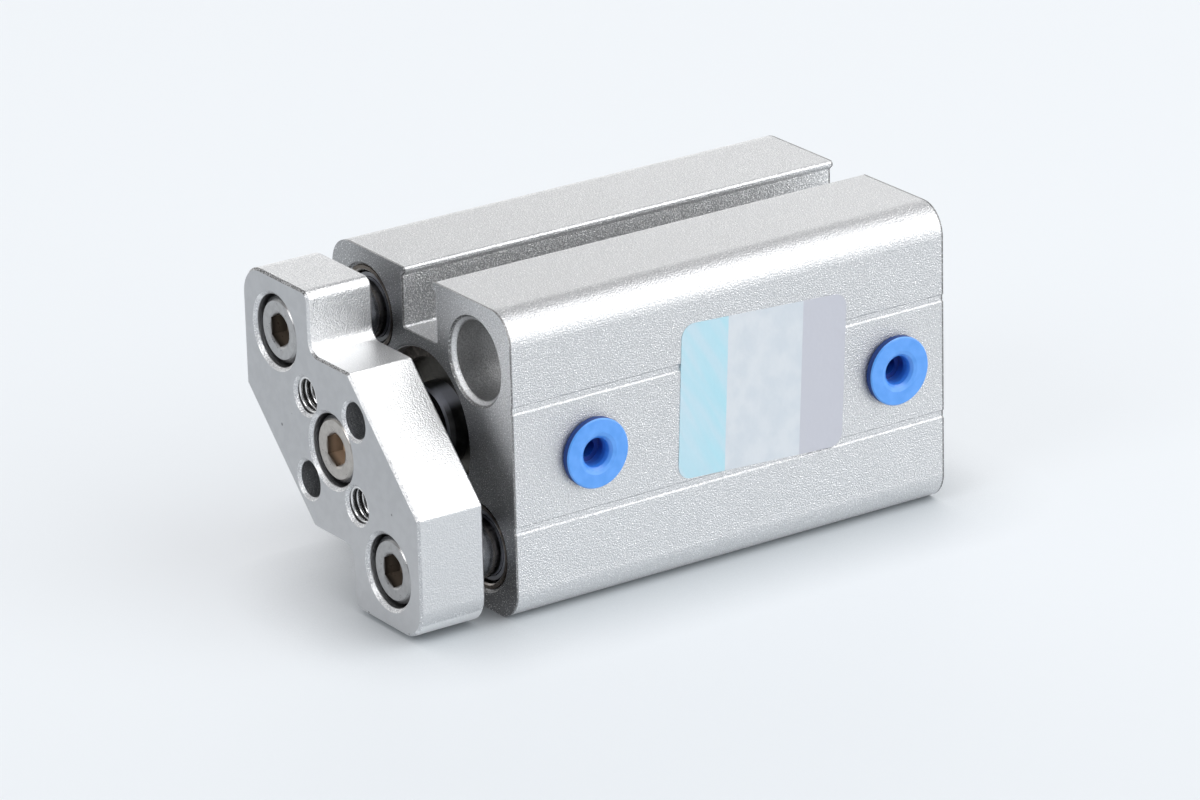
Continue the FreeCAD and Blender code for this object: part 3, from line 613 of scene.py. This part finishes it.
def screw_finish(name, head, socket, offset):
    """offset is the distance in x and in z between the part's axis and the screw's."""
    head_top, head_radius = box_mm("rod_screw")[0].y, box_mm("rod_screw")[1].x
    socket_radius = 1.5
    material = surface(name, head, 1.0, 0.3)
    place = place_mm(material)
    x, y, z = place.split()
    nx, _, nz = normal_parts(material)
    radius = from_lines(x, z, offset)
    mottle = noise(place, 2.2)
    worn = mottle.rise(0.3, 0.7).mix(tuple(part * 0.85 for part in head), head)
    inside = (radius.rise(socket_radius, socket_radius - 0.04)
              * y.rise(head_top + 0.04, head_top + 0.12))
    turned = place.node("ShaderNodeCombineXYZ", {}, {0: nx * 1.6, 1: y * 0.5, 2: nz * 1.6})
    facets = noise(turned, 1.0, 0.0)
    # painted light and shade in the socket: dark by its mouth, lighter deeper in, each facet at
    # its own level
    lit = y.rise(head_top + 0.10, head_top + 0.80) * (0.30 + facets.rise(0.35, 0.65) * 0.70)
    shaded_socket = lit.mix(tuple(part * 0.12 for part in socket), socket)
    # painted shade: a darker ring on each head's bevelled rim
    flank = radius.rise(head_radius - 0.25, head_radius - 0.17)
    colour = flank.mix(inside.mix(worn, shaded_socket), (0.26, 0.26, 0.265))
    feed(material, Base_Color=colour, Metallic=1 - inside * 0.85, Roughness=0.22 + mottle * 0.16,
         Normal=bumps(noise(place, 9.0), 0.008))
    return material


dress(screw_finish("middle_screw", (0.50, 0.475, 0.445), (0.62, 0.46, 0.33), 0.0), "rod_screw")
dress(screw_finish("guide_screws", (0.45, 0.45, 0.45), (0.20, 0.16, 0.125), hole_offset),
      "guide_screws")

# --- Port plugs -------------------------------------------------------------------------------
# Bright blue moulded dust plugs, pushed into the two ports: a light face, and painted shade on a
# darker side, a darker funnel and the nearly navy finger hole, whose lower wall is painted
# lighter.


def plug_finish():
    front_start, front_end = box_mm("port_plug_front")
    rear_start, rear_end = box_mm("port_plug_rear")
    ports_middle = (front_start.y + rear_end.y) / 2
    ports_half = (rear_start.y - front_start.y) / 2
    plug_face, flange = front_end.x, (front_end.y - front_start.y) / 2
    finger_hole, mouth = 1.15, 0.6
    material = surface("blue_plastic", (0.07, 0.33, 0.93), 0.0, 0.32, Coat_Roughness=0.25)
    place = place_mm(material)
    x, y, z = place.split()
    _, _, nz = normal_parts(material)
    along = abs(abs(y - ports_middle) - ports_half)
    radius = (along * along + z * z) ** 0.5
    mottle = noise(place, 1.2)
    side = (x.rise(plug_face - 0.08, plug_face - 0.12)
            * radius.rise(flange - 0.9, flange - 0.6))
    funnel = (x.rise(plug_face - 0.03, plug_face - 0.45)
              * radius.rise(finger_hole + mouth + 0.1, finger_hole + mouth - 0.1))
    hole = (x.rise(plug_face - 0.95, plug_face - 1.25)
            * radius.rise(finger_hole + 0.25, finger_hole + 0.05))
    colour = mottle.rise(0.2, 0.8).mix((0.065, 0.265, 0.71), (0.095, 0.31, 0.78))
    # painted shade on the flange's side
    colour = side.mix(colour, (0.004, 0.035, 0.19))
    # painted shade in the funnel
    colour = funnel.mix(colour, (0.04, 0.20, 0.70))
    # painted shade in the finger hole, painted light on its up-facing lower wall
    colour = hole.mix(colour, nz.rise(-0.1, 0.8).mix((0.005, 0.035, 0.25), (0.03, 0.16, 0.62)))
    feed(material, Base_Color=colour, Coat_Weight=(0.25 + mottle * 0.1) * (1 - side),
         Roughness=0.26 + mottle * 0.12 + side * 0.3)
    return material


dress(plug_finish(), "port_plug_front", "port_plug_rear")

# --- Side label -------------------------------------------------------------------------------
# A blank film of three fields between the ports, stuck on a little askew: light blue, pale and
# grey. Its back is sunk into the body's side, so that it closes the groove it bridges.

label_y, label_z, label_tilt = (body_start.y + body_end.y) / 2 + 2.93, 1.62, radians(-2.9)
label_width, label_height, label_corner = 16.1, 12.95, 1.2
label_back, label_front = body_end.x - 0.125, body_end.x + 0.035


def film_finish():
    blue_end, grey_start = -3.54, 3.78
    material = surface("label_film", (0.75, 0.8, 0.86), 0.0, 0.34)
    place = place_mm(material)
    _, y, z = place.split()
    across = (y - label_y) * cos(label_tilt) + (z - label_z) * sin(label_tilt)
    slanted = place.node("ShaderNodeCombineXYZ", {}, {0: y * 0.9 + z * 0.5, 1: z * 0.12})
    waves = noise(slanted, 1.0, 1.0).rise(0.3, 0.7) * 0.7 + across.rise(-8.0, -3.8) * 0.3
    blue = waves.mix((0.45, 0.59, 0.67), (0.35, 0.59, 0.68))
    pale = noise(place, 0.6).rise(0.3, 0.7).mix((0.50, 0.55, 0.60), (0.55, 0.59, 0.63))
    colour = across.rise(blue_end - 0.02, blue_end + 0.02).mix(blue, pale)
    colour = across.rise(grey_start - 0.02, grey_start + 0.02).mix(colour, (0.44, 0.455, 0.51))
    feed(material, Base_Color=colour, Normal=bumps(noise(place, 0.8), 0.03))
    return material


def rounded_outline(width, height, radius, steps):
    """Corner points of a rounded rectangle about the origin, counter-clockwise."""
    points = []
    for corner, (u, v) in enumerate(((1, 1), (-1, 1), (-1, -1), (1, -1))):
        for step in range(steps + 1):
            angle = (corner + step / steps) * pi / 2
            points.append((u * (width / 2 - radius) + radius * cos(angle),
                           v * (height / 2 - radius) + radius * sin(angle)))
    return points


def stick_label():
    """The film as a closed sheet on the port side."""
    outline = rounded_outline(label_width, label_height, label_corner, 8)
    count = len(outline)
    points = []
    for x in (label_back, label_front):
        for u, v in outline:
            y = label_y + u * cos(label_tilt) - v * sin(label_tilt)
            z = label_z + u * sin(label_tilt) + v * cos(label_tilt)
            points.append((x * mm, y * mm, z * mm))
    faces = [tuple(reversed(range(count))), tuple(range(count, 2 * count))]
    for here in range(count):
        there = (here + 1) % count
        faces.append((here, there, count + there, count + here))
    mesh = bpy.data.meshes.new("side_label")
    mesh.from_pydata(points, [], faces)
    mesh.materials.append(film_finish())
    label = bpy.data.objects.new("side_label", mesh)
    bpy.context.scene.collection.objects.link(label)
    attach(label, "barrel")


stick_label()
